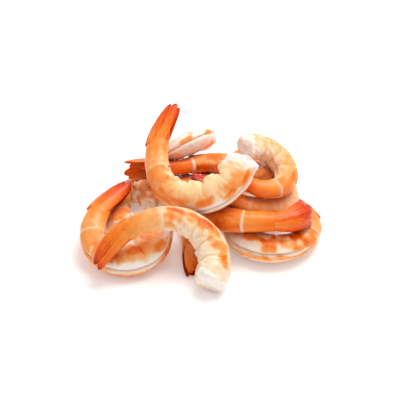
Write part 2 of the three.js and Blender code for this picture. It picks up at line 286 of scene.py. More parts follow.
@dataclass(frozen=True)
class Shrimp:
    """How a shrimp of the heap lies, and what its skin looks like.

    Its curl is in its own XY plane, clockwise from the cut end at +X by way of -Y to the tail at -X. Angles are in
    degrees.

    Attributes:
        name: Where it lies in the heap.
        at: Middle of its curl, in millimetres.
        yaw: Turn about Z, which comes after tilt and roll.
        tilt: Turn about X.
        roll: Turn about Y.
        curl: Turn of the body over the meat.
        hook: Turn of the body over the last segment.
        flick: Turn of the body over the fan.
        lift: Slope at which the tail leaves the plane of the curl.
        over: Whether it lies on its other side.
        size: Its size, as a share of a full-size shrimp.
        cut: How much of the meat's length the cut end left.
        girth: Its thickness, as a share of the usual one.
        fan: How far the fan is spread, from 0 for furled to 1.
        tint: Pigment of the meat at the cut end and at the tail.
        margin: How far from the slit the pale strip along it starts to fade, and where it is gone.
        slit_at: Angle from the back at which the slit runs.
        wrinkles: Strength of the fine wrinkles round the body.
        lobes: Strength of the lobes at the belly.
        cream: How creamy the belly is.
        cream_from: Angle from the back at which the cream sets in.
        head_cream: How creamy the cut end is.
        ragged: How torn the cut end is.
        shell: Depth of colour of the last segment's shell.
        ring: How pale the front rim of that shell is.
        redness: Depth of colour of the fan.
        spots: Its own patches of pigment, some of which are painted shade.
        seed: What its unevenness is drawn from.
    """

    name: str
    at: tuple[float, float, float]
    yaw: float
    tilt: float
    roll: float
    curl: float
    hook: float
    flick: float = 0
    lift: float = 0
    over: bool = False
    size: float = 1
    cut: float = 1
    girth: float = 1
    fan: float = 0
    tint: tuple[float, float] = (0.45, 0.6)
    margin: tuple[float, float] = (8, 24)
    slit_at: float = 0
    wrinkles: float = 0.3
    lobes: float = 1
    cream: float = 0.35
    cream_from: float = 85
    head_cream: float = 0.1
    ragged: float = 1
    shell: float = 0.12
    ring: float = 0.45
    redness: float = 0.5
    spots: tuple[Spot, ...] = ()
    seed: int = 1


HEAP = (
    # Its spot at 1.1 segments and 14 degrees is partly painted shade from front_arch, and its long spot along the slit
    # is partly painted shade on the band there.
    Shrimp("left_ring", (-42.3, -29, 11.8), 15, 14, -3, 196, 39, 13, size=0.97, girth=1.1, tint=(0.28, 0.62),
           margin=(14, 40), slit_at=18, redness=0.6, seed=11,
           spots=(Spot(2.45, 88, 0.4, 16, 0.32), Spot(1.5, 44, 0.26, 20, 0.5), Spot(1.8, 80, 0.35, 16, 0.12),
                  Spot(2.5, 25, 0.7, 18, -0.3), Spot(1.0, 40, 0.16, 18, -0.3), Spot(2.2, -36, 0.7, 10, 0.5),
                  Spot(3.6, 60, 0.6, 30, 0.2), Spot(2.7, 0, 2.5, 12, 0.42), Spot(1.1, 14, 0.5, 18, 0.7),
                  Spot(1.5, 108, 0.5, 20, 0.3))),
    # Its long spot along the slit is partly painted shade on the band there.
    Shrimp("right_ring", (39.7, -17, 7.2), -19, -2, -1, 172, 44, 18, over=True, size=0.94, girth=1.1,
           tint=(0.08, 0.3), margin=(16, 30), slit_at=-14, lobes=0.1, seed=12,
           spots=(Spot(1.1, -85, 0.5, 16, 0.5), Spot(2.05, -76, 0.5, 20, 0.6), Spot(2.8, -54, 0.32, 36, 0.62),
                  Spot(3.5, -52, 0.45, 34, 0.28), Spot(3.9, -40, 0.3, 40, 0.3), Spot(4.4, -35, 0.6, 60, 0.5),
                  Spot(3.2, -30, 0.14, 16, -0.2), Spot(2.4, 6, 2.2, 12, 0.45), Spot(3.3, -124, 0.9, 26, 0.6))),
    Shrimp("left_back", (-27.8, -1, 9.8), -115, 6, 4, 142, -10, -3, size=0.87, girth=1.18, tint=(0.3, 0.45),
           redness=0.7, seed=13, spots=(Spot(3, 150, 1.6, 45, 0.5), Spot(0.3, 105, 0.5, 60, 0.6))),
    Shrimp("right_back", (31.7, 39, 6.9), 118, -1, 0, 235, 5, size=0.94, girth=1.02, tint=(0.6, 0.7), seed=14,
           spots=(Spot(0, 90, 1, 180, 0.4),)),
    Shrimp("left_middle", (-23, -16.3, 12.6), 157, 9, -27, 123, 4, size=0.85, cut=0.8, girth=1.12, tint=(0.12, 0.3),
           head_cream=0.3, ragged=2, redness=-0.3, seed=15,
           spots=(Spot(-0.2, 20, 0.6, 170, 0.5), Spot(-0.1, 104, 0.4, 46, 0.85), Spot(0.6, 20, 0.3, 20, 0.4),
                  Spot(-0.2, -110, 0.3, 20, 0.8), Spot(0.5, 110, 0.4, 40, 0.4))),
    # Its two spots are painted shade where top_front shades it.
    Shrimp("right_middle", (24.5, -12.5, 15), -99, 4, -18, 175, 16, 77, over=True, size=1.03, cut=0.9, girth=1.08,
           fan=0.55, tint=(0.66, 0.72), margin=(-40, -20), slit_at=50, shell=0.24, ring=0.75, redness=0.8, seed=16,
           spots=(Spot(4.3, -30, 0.35, 26, 0.3), Spot(4.2, 18, 0.7, 18, 0.4))),
    # Its deep red fan is partly painted shade, for the dark hole under top_front where it lies.
    Shrimp("right_low", (26.2, 6.5, 20.5), 73, 18, 2, 147, 30, -6, size=0.85, girth=1.05, tint=(0.3, 0.52),
           redness=0.95, seed=17),
    Shrimp("back_low", (4.2, 2.7, 24.6), 152.3, 12.5, 4, 101, -19, 24, over=True, size=0.95, cut=0.8, girth=1.1,
           fan=0.35, tint=(0.45, 0.8), lobes=0.4, cream=0, shell=0.46, ring=1, redness=-0.3, seed=18,
           spots=(Spot(4.5, -170, 0.5, 30, 0.5), Spot(3.5, -120, 0.5, 24, 0.3), Spot(3.3, 180, 0.5, 30, 0.4),
                  Spot(-0.2, 0, 1, 180, 0.6))),
    # Its patches along the back, at -55 to -90 degrees, are partly painted shade where top_front shades its back.
    Shrimp("front_arch", (-16.9, -58.5, 17.8), 133, -5, -31, 127, 22, 40, lift=28, over=True, size=0.92, cut=0.92,
           girth=1.06, tint=(0.22, 0.36), wrinkles=0.9, lobes=0.5, cream=0, head_cream=0.25, ragged=0.6,
           shell=0.06, redness=0.32, seed=19,
           spots=(Spot(3.6, -72, 0.6, 14, 0.5), Spot(4.3, -66, 0.4, 14, 0.4), Spot(2.9, -80, 0.4, 15, 0.36),
                  Spot(2.3, -62, 0.36, 12, 0.36), Spot(4.6, -148, 0.4, 26, 0.3),
                  Spot(3.4, -86, 0.9, 18, 0.2), Spot(2.4, -86, 0.7, 18, 0.2), Spot(1.5, -75, 0.5, 24, 0.34),
                  Spot(0.85, -55, 0.25, 14, 0.45), Spot(4.5, -90, 0.5, 25, 0.25), Spot(-0.2, 150, 0.3, 40, 0.2))),
    Shrimp("top_front", (-1.3, 1, 42.8), -4, 28, -15, 143, 31, 17, size=1.01, girth=1.06, fan=0.05,
           tint=(0.3, 0.58), slit_at=8, lobes=1.5, cream=0.7, cream_from=50, head_cream=0, ring=0.3, seed=20,
           spots=(Spot(2.15, 42, 0.26, 12, 0.4), Spot(1.3, 26, 0.26, 10, 0.4), Spot(0.6, 22, 0.3, 10, 0.35),
                  Spot(2.9, 62, 0.3, 14, 0.15), Spot(2.6, 40, 0.2, 14, -0.12), Spot(1.75, 34, 0.2, 14, -0.15),
                  Spot(3.4, 35, 0.25, 14, -0.1), Spot(4.5, 60, 0.7, 50, 0.14), Spot(0.5, 16, 0.3, 14, 0.4),
                  Spot(3.4, 60, 0.5, 20, 0.2), Spot(0.9, 45, 0.4, 24, 0.2), Spot(3.6, 28, 0.4, 12, 0.4))),
    Shrimp("top_right", (32.9, 2.5, 34), 132.8, 12.8, -27.6, 180, 92, -34, lift=-26, size=0.84, cut=0.92, girth=1.03,
           tint=(0.3, 0.62), lobes=0.5, cream=0.15, shell=0.24, redness=0.1, seed=21,
           spots=(Spot(3.5, 55, 0.5, 20, 0.2), Spot(4.5, 50, 0.7, 50, 0.2), Spot(2, 55, 0.8, 12, 0.2))),
    Shrimp("back_top", (-13.1, 43.9, 17.2), -3.6, -38.4, -31.1, 161, 43, 8, size=0.86, cut=0.9, girth=1.03,
           tint=(0, 0.15), margin=(4, 10), cream=0, seed=22,
           spots=(Spot(2.1, 14, 0.3, 10, 0.6), Spot(0.75, 10, 0.3, 14, 0.7), Spot(0.6, -65, 0.35, 20, 0.7),
                  Spot(3, -30, 0.5, 20, 0.3), Spot(2.5, 115, 2.2, 50, 0.5), Spot(4.7, 0, 0.6, 180, 0.4))),
)


def turned(shrimp: Shrimp) -> np.ndarray:
    """Turns from a shrimp's own frame to the row frame.

    Args:
        shrimp: How the shrimp lies.

    Returns:
        A 3 x 3 matrix: roll about Y, then tilt about X, then yaw about Z.
    """
    x, y, z = (math.radians(a) for a in (shrimp.tilt, shrimp.roll + (180 if shrimp.over else 0), shrimp.yaw))
    about_x = np.array([[1, 0, 0], [0, math.cos(x), -math.sin(x)], [0, math.sin(x), math.cos(x)]])
    about_y = np.array([[math.cos(y), 0, math.sin(y)], [0, 1, 0], [-math.sin(y), 0, math.cos(y)]])
    about_z = np.array([[math.cos(z), -math.sin(z), 0], [math.sin(z), math.cos(z), 0], [0, 0, 1]])
    return about_z @ about_x @ about_y


@dataclass
class Sections:
    """Cross-sections of a shrimp in the row frame, in millimetres: middles, directions and half sizes."""

    middle: np.ndarray
    ahead: np.ndarray
    back: np.ndarray
    side: np.ndarray
    depth: np.ndarray
    width: np.ndarray

    def rows(self, up: np.ndarray, over: np.ndarray) -> np.ndarray:
        """Corners at offsets in millimetres towards the back and the side, as rings by corners by three coordinates."""
        return self.middle[:, None] + self.back[:, None] * up[..., None] + self.side[:, None] * over[..., None]


class Spine:
    """The centreline of a shrimp in the row frame, and the half sizes along it."""

    def __init__(self, shrimp: Shrimp) -> None:
        """Traces the centreline.

        Args:
            shrimp: How the shrimp lies.
        """
        self.shrimp = shrimp
        self.girth = shrimp.size * shrimp.girth
        self.meat = MEAT_LENGTH * shrimp.size * shrimp.cut
        self.sixth = SIXTH_LENGTH * shrimp.size
        self.fan = FAN_LENGTH * shrimp.size
        self.length = self.meat + self.sixth + self.fan
        self.step = self.length / SPINE_STEPS
        self.points = self.trace()

    def trace(self) -> np.ndarray:
        """Traces the centreline in the shrimp's own frame.

        Returns:
            Its points, in millimetres.
        """
        shrimp = self.shrimp
        s = (np.arange(SPINE_STEPS) + 0.5) * self.step
        swell = 1 + BEND_SWELL * np.cos(2 * math.pi * (s / self.meat - 0.5))
        in_meat = math.radians(shrimp.curl) / self.meat * swell
        in_sixth = math.radians(shrimp.hook) / self.sixth
        in_fan = math.radians(shrimp.flick) / self.fan
        rate = np.where(s > self.meat + self.sixth, in_fan, np.where(s > self.meat, in_sixth, in_meat))
        headings = np.concatenate([[0], -np.cumsum(rate * self.step)])
        middle = round(self.meat / 2 / self.step)
        heading = math.pi - headings[middle] + (headings[1:] + headings[:-1]) / 2
        ahead = np.stack([np.cos(heading), np.sin(heading), np.zeros_like(heading)], 1)
        points = np.concatenate([np.zeros((1, 3)), np.cumsum(ahead * self.step, 0)])
        radius = self.meat / math.radians(shrimp.curl)
        points += np.array([0, -radius, 0]) - points[middle]
        past = np.maximum(0, np.arange(SPINE_STEPS + 1) * self.step - self.meat)
        points[:, 2] += math.tan(math.radians(shrimp.lift)) * past * past / (past + LIFT_RUN)
        return points

    def sections(self, s: np.ndarray) -> Sections:
        """Cross-sections at distances from the cut end.

        Args:
            s: The distances, in millimetres.

        Returns:
            The cross-sections in the row frame.
        """
        place = np.clip(s / self.step, 0, SPINE_STEPS - TINY)
        i = np.floor(place).astype(int)
        ahead = self.points[i + 1] - self.points[i]
        ahead /= np.linalg.norm(ahead, axis=1, keepdims=True)
        middle = self.points[i] + (self.points[i + 1] - self.points[i]) * (place - i)[:, None]
        middle += ahead * (s - place * self.step)[:, None]
        back = np.cross([0.0, 0.0, 1.0], ahead)
        back /= np.linalg.norm(back, axis=1, keepdims=True)
        side = np.cross(ahead, back)
        in_meat = s <= self.meat
        along_meat = s / self.meat
        along_tail = (s - self.meat) / (self.sixth + self.fan)
        depth = np.where(in_meat, profile(MEAT_DEPTH, along_meat), profile(TAIL_DEPTH, along_tail)) * self.girth
        width = np.where(in_meat, profile(MEAT_WIDTH, along_meat), profile(TAIL_WIDTH, along_tail)) * self.girth
        turn = turned(self.shrimp).T
        at = np.array(self.shrimp.at, float)
        return Sections(middle @ turn + at, ahead @ turn, back @ turn, side @ turn, depth, width)


class Body:
    """A shrimp as its neighbours feel it."""

    def __init__(self, spine: Spine) -> None:
        """Takes the cross-sections that are felt.

        Args:
            spine: The shrimp's centreline.
        """
        self.sections = spine.sections(np.linspace(0, spine.length, FELT_SECTIONS))
        reach = self.sections.depth.max() + BOX_ROOM
        self.low = self.sections.middle.min(0) - reach
        self.high = self.sections.middle.max(0) + reach

    def nearest(self, points: np.ndarray) -> np.ndarray:
        """Finds the cross-sections nearest to points.

        Args:
            points: The points, in millimetres.

        Returns:
            The numbers of the cross-sections.
        """
        middle = self.sections.middle
        square = (points ** 2).sum(1)[:, None] + (middle ** 2).sum(1)[None] - 2 * points @ middle.T
        return square.argmin(1)

    def clearance(self, points: np.ndarray) -> np.ndarray:
        """Distances from points to the skin, negative inside.

        Args:
            points: The points, in millimetres.

        Returns:
            The distances, in millimetres.
        """
        cuts = self.sections
        i = self.nearest(points)
        offset = points - cuts.middle[i]
        up, across, ahead = ((offset * way[i]).sum(1) for way in (cuts.back, cuts.side, cuts.ahead))
        radial = np.hypot(up, across)
        share = np.hypot(up / cuts.depth[i], across / cuts.width[i]) + TINY
        outside = radial * (1 - 1 / share)
        at_end = (i == 0) | (i == FELT_SECTIONS - 1)
        past_end = np.where(outside > 0, np.hypot(outside, ahead), np.maximum(outside, np.abs(ahead) - END_DEPTH))
        return np.where(at_end, past_end, outside)


class Press:
    """What a shrimp's skin gives way to: its neighbours, and the surface that the heap lies on."""

    def __init__(self, own: Body, neighbours: list[Body]) -> None:
        """Keeps the bodies.

        Args:
            own: The shrimp that gives way.
            neighbours: The shrimp round it.
        """
        self.own = own
        self.neighbours = neighbours

    def apply(self, points: np.ndarray, reach: float) -> np.ndarray:
        """Moves points inwards until the skin over them is clear.

        Args:
            points: The points, in millimetres.
            reach: How far out the skin lies over layers, in sizes of the cross-section, or 0 if the points are skin.

        Returns:
            The moved points.
        """
        cuts = self.own.sections
        i = self.own.nearest(points)
        offset = points - cuts.middle[i]
        share = np.hypot((offset * cuts.back[i]).sum(1) / cuts.depth[i], (offset * cuts.side[i]).sum(1) / cuts.width[i])
        scale = np.where(share > CORE_SHARE, np.maximum(1, reach / np.maximum(share, CORE_SHARE)), 1)
        out = scale[:, None] * offset
        far = np.linalg.norm(out, axis=1, keepdims=True) + TINY
        inward = -out / far
        moved = cuts.middle[i] + out
        for body in self.neighbours:
            near = np.nonzero(((moved > body.low) & (moved < body.high)).all(1))[0]
            for _ in range(PRESS_STEPS):
                if not len(near):
                    break
                clear = body.clearance(moved[near])
                near, clear = near[clear < PRESS_GAP], clear[clear < PRESS_GAP]
                moved[near] += inward[near] * (PRESS_GAP - clear)[:, None]
        pressed = ((moved - cuts.middle[i] - out) * inward).sum(1, keepdims=True)
        moved = points - offset * pressed / far
        if reach:
            moved[:, 2] = TAIL_REST * np.log1p(np.exp(moved[:, 2] / TAIL_REST))
        moved[:, 2] = np.maximum(moved[:, 2], FLOOR_GAP)
        return moved

    def touch(self, rows: np.ndarray) -> np.ndarray:
        """How close skin lies to a neighbour or to the floor, which sets where shade is painted.

        Args:
            rows: The pressed skin, as rings by corners by three coordinates.

        Returns:
            1 where it touches, down to 0 where nothing is near.
        """
        flat = rows.reshape(-1, 3)
        gap = np.minimum(TOUCH_REACH, flat[:, 2] * FLOOR_SHARE)
        for body in self.neighbours:
            near = np.nonzero(((flat > body.low - TOUCH_REACH) & (flat < body.high + TOUCH_REACH)).all(1))[0]
            if len(near):
                gap[near] = np.minimum(gap[near], body.clearance(flat[near]))
        return (1 - smooth(0, TOUCH_REACH, gap)).reshape(rows.shape[:2])

    def skin(self, rows: np.ndarray, reach: float = 0) -> np.ndarray:
        """Presses a skin of rings and rounds the rims of its dents.

        Args:
            rows: The skin, as rings by corners by three coordinates.
            reach: How far out the skin lies over layers, in sizes of the cross-section, or 0 for outer skin.

        Returns:
            The pressed skin.
        """
        flat = rows.reshape(-1, 3)
        moved = self.apply(flat, reach)
        amount = np.linalg.norm(moved - flat, axis=1).reshape(rows.shape[:2])
        spread = amount
        for _ in range(RIM_STEPS):
            padded = np.concatenate([spread[:1], spread, spread[-1:]])
            spread = (padded[:-2] + padded[2:] + np.roll(spread, 1, 1) + np.roll(spread, -1, 1) + 2 * spread) / 6
        extra = np.maximum(0, RIM_SHARE * spread - amount).reshape(-1, 1)
        inward = self.own.sections.middle[self.own.nearest(moved)] - moved
        inward /= np.linalg.norm(inward, axis=1, keepdims=True) + TINY
        moved = moved + inward * extra
        moved[:, 2] = np.maximum(moved[:, 2], FLOOR_GAP)
        return moved.reshape(rows.shape)


@dataclass
class Skin:
    """Corners, faces and values of a mesh while it is made, in millimetres."""

    points: list[np.ndarray] = field(default_factory=list)
    faces: list[tuple[int, ...]] = field(default_factory=list)
    values: dict[str, list[np.ndarray]] = field(default_factory=dict)
    count: int = 0

    def ring_skin(self, rows: np.ndarray, values: dict[str, np.ndarray | float]) -> None:
        """Adds a closed skin of rings, with its two ends closed by a corner in the middle of each.

        Args:
            rows: Rings by corners by three coordinates.
            values: Numbers by name: one for each corner, three for each, or one for all.
        """
        rings, corners = rows.shape[:2]
        start = self.count
        index = start + np.arange(rings * corners).reshape(rings, corners)
        after = np.roll(index, -1, 1)
        quads = np.stack([index[:-1], after[:-1], after[1:], index[1:]], -1).reshape(-1, 4)
        self.faces.extend(map(tuple, quads.tolist()))
        first, last = start + rings * corners, start + rings * corners + 1
        self.faces.extend((first, int(b), int(a)) for a, b in zip(index[0], after[0]))
        self.faces.extend((last, int(a), int(b)) for a, b in zip(index[-1], after[-1]))
        self.points.append(np.concatenate([rows.reshape(-1, 3), rows[0].mean(0)[None], rows[-1].mean(0)[None]]))
        for name, value in values.items():
            each = np.full((rings, corners), value) if np.isscalar(value) else value
            ends = [each[end].reshape(corners, -1).mean(0)[None] for end in (0, -1)]
            self.values.setdefault(name, []).append(np.concatenate([each.reshape(rings * corners, -1), *ends]))
        self.count += rings * corners + 2

    def piece(self, name: str, finish: bpy.types.Material, node: str) -> bpy.types.Object:
        """Makes the piece.

        Args:
            name: Its name.
            finish: Its material.
            node: The solid that it stands for.

        Returns:
            The piece, in place.
        """
        points = np.clip(np.concatenate(self.points) * MM, CAD_BOX[0], CAD_BOX[1])
        mesh = bpy.data.meshes.new(name)
        mesh.from_pydata(points.tolist(), [], self.faces)
        for key, parts in self.values.items():
            value = np.concatenate(parts).astype(np.float32)
            kind = "FLOAT_VECTOR" if value.shape[1] == 3 else "FLOAT"
            layer = mesh.attributes.new(key, kind, "POINT")
            layer.data.foreach_set("vector" if kind == "FLOAT_VECTOR" else "value", value.ravel())
        mesh.materials.append(finish)
        mesh.polygons.foreach_set("use_smooth", [True] * len(mesh.polygons))
        mesh.update()
        made = bpy.data.objects.new(name, mesh)
        bpy.context.scene.collection.objects.link(made)
        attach(made, BODY)
        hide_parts(node)
        return made


@dataclass(frozen=True)
class CookedFlesh:
    """Cooked shrimp flesh: set protein, moist and slightly translucent, with orange pigment left by the shell.

    Cooking turns the muscle white and the pigment orange. The eye sees milky white that light sinks into, orange laid
    over it in soft-edged patches with fine streaks round the body, and a soft wet shine.
    """

    white: str = "#FDF1E8"
    blossom: str = "#FEDAB4"
    peach: str = "#FFA95B"
    salmon: str = "#FC8830"
    orange: str = "#EE6F08"
    # The deepest orange, which also stands for painted shade where spots push the pigment past full orange.
    deepest_orange_and_shade: str = "#DA5604"
    lobe: str = "#FDDEA6"
    # The slit's tan, partly painted shade of the band along it.
    slit: str = "#DD9C78"
    # Painted shade: deep orange laid where the skin lies close to a neighbour or to the floor.
    painted_shade: str = "#A83C08"
    # The amount of pigment that shows as the deepest orange. Past full orange the ramp stands partly for painted shade,
    # which some spots reach.
    full_pigment: float = 1.3
    # Sizes of the patterns in millimetres. Muscle fibres are about a tenth of a millimetre thick, too fine to show, so
    # the streaks and fibres are drawn coarser. Each is squeezed by a share along its grain.
    mottle: float = 3.2
    streak: float = 0.9
    streak_squeeze: float = 0.22
    fibre: float = 0.5
    fibre_squeeze: float = 0.25
    fibre_relief: float = 0.12
    # How much mottle and streaks add to the pigment, from lowest to highest.
    mottle_range: float = 0.55
    streak_range: float = 0.3
    roughness: tuple[float, float] = (0.3, 0.5)
    # How far red, green and blue light sinks in, in shares of the depth in millimetres.
    sinking: tuple[float, float, float] = (1.0, 0.45, 0.25)
    depth_of_light: float = 2.4

    def make(self) -> bpy.types.Material:
        """Makes the material.

        Returns:
            The material.
        """
        made = blank("cooked_flesh")
        tree = made.node_tree
        straight = add(tree, "ShaderNodeAttribute", {"attribute_name": "straight"}).outputs["Vector"]
        pigment, paleness, lobe, slit, touch = (
            add(tree, "ShaderNodeAttribute", {"attribute_name": name}).outputs["Fac"]
            for name in ("pigment", "paleness", "lobe", "slit", "touch"))
        mottle = add(tree, "ShaderNodeTexNoise",
                     {"Scale": 1 / (self.mottle * MM), "Detail": 5.0, "Roughness": 0.62}, {"Vector": straight})
        squeezed = add(tree, "ShaderNodeMapping", {"Scale": (1.0, self.streak_squeeze, self.streak_squeeze)},
                       {"Vector": straight})
        streak = add(tree, "ShaderNodeTexNoise", {"Scale": 1 / (self.streak * MM), "Detail": 3.0},
                     {"Vector": squeezed.outputs["Vector"]})
        shifted = add(tree, "ShaderNodeMath",
                      {"operation": "MULTIPLY_ADD", 1: self.mottle_range, 2: -self.mottle_range / 2},
                      {0: mottle.outputs["Fac"]})
        streaked = add(tree, "ShaderNodeMath", {"operation": "MULTIPLY_ADD", 1: self.streak_range},
                       {0: streak.outputs["Fac"], 2: shifted.outputs[0]})
        centred = add(tree, "ShaderNodeMath", {"operation": "SUBTRACT", 1: self.streak_range / 2},
                      {0: streaked.outputs[0]})
        mask = add(tree, "ShaderNodeMath", {"operation": "ADD"}, {0: pigment, 1: centred.outputs[0]})
        spanned = add(tree, "ShaderNodeMapRange", {"From Max": self.full_pigment}, {"Value": mask.outputs[0]})
        ramp = add(tree, "ShaderNodeValToRGB", None, {"Fac": spanned.outputs["Result"]})
        fill(ramp.color_ramp, ((0.0, self.white), (0.19, self.blossom), (0.38, self.peach), (0.57, self.salmon),
                               (0.76, self.orange), (1.0, self.deepest_orange_and_shade)))
        colour = ramp.outputs["Color"]
        # The last layer is painted shade, laid over the colour where the touch mask is high.
        for over, where in ((self.lobe, lobe), (self.white, paleness), (self.slit, slit), (self.painted_shade, touch)):
            laid = add(tree, "ShaderNodeMix", {"data_type": "RGBA", MIX_OVER: linear(over)},
                       {MIX_SHARE: where, MIX_UNDER: colour})
            colour = laid.outputs[MIX_RESULT]
        stretch = add(tree, "ShaderNodeMapping", {"Scale": (self.fibre_squeeze, 1.0, 1.0)}, {"Vector": straight})
        fibre = add(tree, "ShaderNodeTexNoise", {"Scale": 1 / (self.fibre * MM), "Detail": 3.0},
                    {"Vector": stretch.outputs["Vector"]})
        rough = add(tree, "ShaderNodeMapRange", {"To Min": self.roughness[0], "To Max": self.roughness[1]},
                    {"Value": mottle.outputs["Fac"]})
        relief = add(tree, "ShaderNodeBump", {"Strength": 0.35, "Distance": self.fibre_relief * MM},
                     {"Height": fibre.outputs["Fac"]})
        shader = add(tree, "ShaderNodeBsdfPrincipled",
                     {"Subsurface Weight": 0.35, "Subsurface Radius": self.sinking,
                      "Subsurface Scale": self.depth_of_light * MM, "IOR": 1.4,
                      "Specular IOR Level": 0.4, "Coat Weight": 0.08, "Coat Roughness": 0.12},
                     {"Base Color": colour, "Roughness": rough.outputs["Result"],
                      "Normal": relief.outputs["Normal"]})
        add(tree, "ShaderNodeOutputMaterial", None, {"Surface": shader.outputs["BSDF"]})
        return made


@dataclass(frozen=True)
class CookedShell:
    """Cooked shrimp shell: thin horny plate, red with heat, smooth, ribbed on the blades and wet.

    The eye sees a glossy, slightly see-through orange that deepens to red where blades lie over each other and
    towards their tips, with fine ribs along them.
    """

    peach: str = "#FFB877"
    apricot: str = "#FF953C"
    orange: str = "#FB7A18"
    red: str = "#E84A10"
    deep: str = "#A82204"
    rim: str = "#FBE6D0"
    # Painted shade: deep red laid where the shell lies close to a neighbour or to the floor.
    painted_shade: str = "#9A2C06"
    # Sizes of the patterns in millimetres. The ribs and bristles of real blades are about a quarter of a millimetre
    # wide, too fine to show, so they are drawn coarser. They are squeezed by a share along their grain.
    mottle: float = 3.0
    ribs: float = 0.55
    rib_squeeze: float = 0.06
    rib_relief: float = 0.12
    # How much the mottle adds to the tone, from lowest to highest.
    mottle_range: float = 0.5
    roughness: float = 0.28
    # How far red, green and blue light sinks in, in shares of the depth in millimetres.
    sinking: tuple[float, float, float] = (1.0, 0.35, 0.15)
    depth_of_light: float = 1.5

    def make(self) -> bpy.types.Material:
        """Makes the material.

        Returns:
            The material.
        """
        made = blank("cooked_shell")
        tree = made.node_tree
        straight = add(tree, "ShaderNodeAttribute", {"attribute_name": "straight"}).outputs["Vector"]
        tone, rim, touch, ribbed = (add(tree, "ShaderNodeAttribute", {"attribute_name": name}).outputs["Fac"]
                                    for name in ("tone", "rim", "touch", "ribbed"))
        mottle = add(tree, "ShaderNodeTexNoise", {"Scale": 1 / (self.mottle * MM), "Detail": 4.0, "Roughness": 0.6},
                     {"Vector": straight})
        shifted = add(tree, "ShaderNodeMath",
                      {"operation": "MULTIPLY_ADD", 1: self.mottle_range, 2: -self.mottle_range / 2},
                      {0: mottle.outputs["Fac"]})
        stretch = add(tree, "ShaderNodeMapping", {"Scale": (self.rib_squeeze, 1.0, 1.0)}, {"Vector": straight})
        ribs = add(tree, "ShaderNodeTexNoise", {"Scale": 1 / (self.ribs * MM), "Detail": 2.0},
                   {"Vector": stretch.outputs["Vector"]})
        centred = add(tree, "ShaderNodeMath", {"operation": "SUBTRACT", 1: 0.5}, {0: ribs.outputs["Fac"]})
        streaked = add(tree, "ShaderNodeMath", {"operation": "MULTIPLY_ADD"},
                       {0: centred.outputs[0], 1: ribbed, 2: shifted.outputs[0]})
        mask = add(tree, "ShaderNodeMath", {"operation": "ADD"}, {0: tone, 1: streaked.outputs[0]})
        ramp = add(tree, "ShaderNodeValToRGB", None, {"Fac": mask.outputs[0]})
        fill(ramp.color_ramp, ((0.0, self.peach), (0.22, self.apricot), (0.45, self.orange), (0.72, self.red),
                               (1.0, self.deep)))
        colour = ramp.outputs["Color"]
        # The last layer is painted shade, laid over the colour where the touch mask is high.
        for over, where in ((self.rim, rim), (self.painted_shade, touch)):
            laid = add(tree, "ShaderNodeMix", {"data_type": "RGBA", MIX_OVER: linear(over)},
                       {MIX_SHARE: where, MIX_UNDER: colour})
            colour = laid.outputs[MIX_RESULT]
        relief = add(tree, "ShaderNodeBump", {"Strength": 0.5, "Distance": self.rib_relief * MM},
                     {"Height": ribs.outputs["Fac"]})
        shader = add(tree, "ShaderNodeBsdfPrincipled",
                     {"Subsurface Weight": 0.15, "Subsurface Radius": self.sinking,
                      "Subsurface Scale": self.depth_of_light * MM, "IOR": 1.5, "Roughness": self.roughness,
                      "Specular IOR Level": 0.22, "Coat Weight": 0.06, "Coat Roughness": 0.1},
                     {"Base Color": colour, "Normal": relief.outputs["Normal"]})
        add(tree, "ShaderNodeOutputMaterial", None, {"Surface": shader.outputs["BSDF"]})
        return made


@dataclass(frozen=True)
class WhitePaper:
    """Backdrop paper: bleached pulp, rolled matt. The eye sees an even white that shades only where things touch it."""

    white: str = "#FAF9F9"
    roughness: float = 0.9
    light: str = "#FFFFFF"
    # The paper glows faintly: painted light that lifts its shadows and lights the heap from below.
    glow: float = 0.18

    def make(self) -> bpy.types.Material:
        """Makes the material.

        Returns:
            The material.
        """
        made = blank("white_paper")
        shader = add(made.node_tree, "ShaderNodeBsdfPrincipled",
                     {"Base Color": linear(self.white), "Roughness": self.roughness,
                      "Emission Color": linear(self.light), "Emission Strength": self.glow})
        add(made.node_tree, "ShaderNodeOutputMaterial", None, {"Surface": shader.outputs["BSDF"]})
        return made


